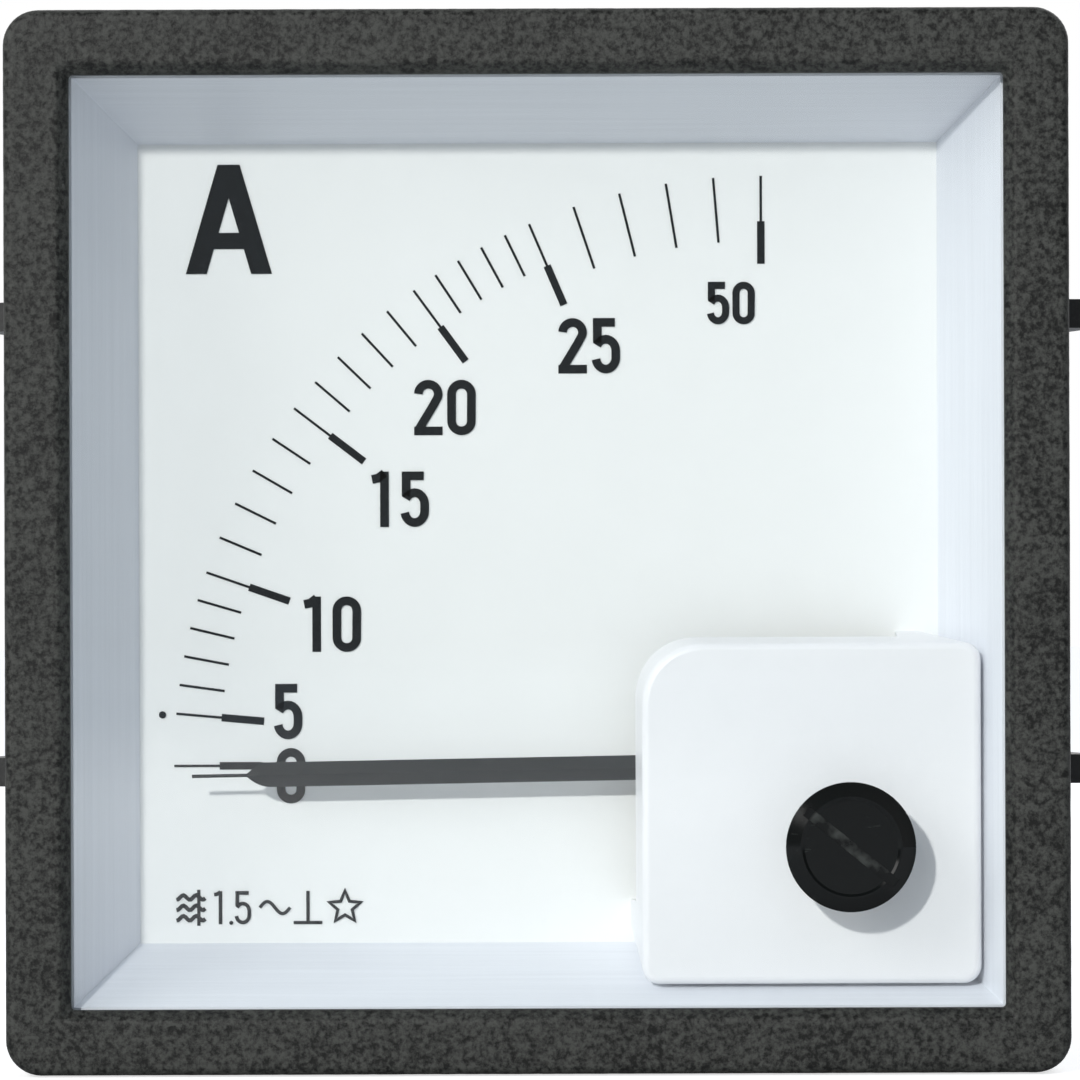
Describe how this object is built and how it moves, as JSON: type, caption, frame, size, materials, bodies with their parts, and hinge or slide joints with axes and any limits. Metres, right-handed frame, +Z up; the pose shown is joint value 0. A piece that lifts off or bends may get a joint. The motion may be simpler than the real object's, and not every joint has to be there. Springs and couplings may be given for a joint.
{
  "type": "analog panel meter",
  "caption": "Square panel ammeter with a corner-pivoted pointer, white dial, zero adjuster, rear terminals and slide-on side clamps.",
  "frame": {"origin": "centre of the square panel cutout, on the panel's front face, which is the bezel's back face", "axes": "+Y into the panel, away from the viewer; +X to the viewer's right; +Z up"},
  "size_m": [0.077, 0.0656, 0.072],
  "materials": {
    "bezel": "dark grey grained moulding",
    "pane": "clear polished sheet",
    "frame": "satin white moulding",
    "dial": "matt white paint",
    "ink": "matt black printing ink",
    "cover": "satin white moulding",
    "adjuster": "glossy black",
    "housing": "fine satin black moulding",
    "pointer": "matt black paint",
    "steel": "plain turned steel",
    "brass": "bright turned brass",
    "bronze": "thin rolled bronze strip",
    "copper": "clear enamelled copper wire",
    "moulding": "natural moulding",
    "iron": "soft iron strip",
    "blade": "thin aluminium foil",
    "clamp": "satin black moulding"
  },
  "bodies": {
    "case": {"bar_screws": "steel", "bezel": "bezel", "bobbin": "moulding", "bridge_pillars": "brass", "coil_lead_left": "copper", "coil_lead_right": "copper", "coil_winding": "copper", "damping_chamber": "moulding", "dial_plate": "dial", "fixed_vane": "iron", "front_bridge": "brass", "front_jewel_screw": "brass", "housing": "housing", "inner_frame": "frame", "movement_cover": "cover", "movement_frame": "moulding", "movement_screws": "steel", "rear_bar": "brass", "rear_jewel_screw": "brass", "scale_marks": "ink", "terminal_nuts": "brass", "terminal_stud_left": "brass", "terminal_stud_right": "brass", "terminal_washers": "brass", "window_pane": "pane"},
    "moving_system": {"spindle": "steel", "pointer_hub": "brass", "pointer": "pointer", "balance_arm": "steel", "balance_weight": "brass", "moving_vane": "iron", "damping_vane": "blade"},
    "zero_adjuster": {"zero_adjuster": "adjuster", "adjuster_ring": "steel"},
    "regulator": {"regulator": "brass", "hairspring": "bronze"},
    "clamp_left": {"clamp_left": "clamp"},
    "clamp_right": {"clamp_right": "clamp"}
  },
  "joints": [
    {"name": "pointer_turn", "type": "hinge", "parent": "case", "child": "moving_system", "pos_m": [0.0155, 0, -0.0154], "axis": [0, 1, 0], "range_deg": [-1.5, 93], "stiffness_Nm_per_rad": 0.0001},
    {"name": "zero_adjust", "type": "hinge", "parent": "case", "child": "zero_adjuster", "pos_m": [0.02115, 0, -0.02075], "axis": [0, 1, 0], "range_deg": [-60, 60]},
    {"name": "regulator_turn", "type": "hinge", "parent": "case", "child": "regulator", "pos_m": [0.0155, 0, -0.0154], "axis": [0, 1, 0], "range_deg": [-6.5, 6.5]},
    {"name": "clamp_left_slide", "type": "slide", "parent": "case", "child": "clamp_left", "axis": [0, 1, 0], "range_m": [-0.005, 0.02]},
    {"name": "clamp_right_slide", "type": "slide", "parent": "case", "child": "clamp_right", "axis": [0, 1, 0], "range_m": [-0.005, 0.02]}
  ],
  "couplings": [
    {"joint": "regulator_turn", "follows": "zero_adjust", "ratio": 0.107}
  ]
}
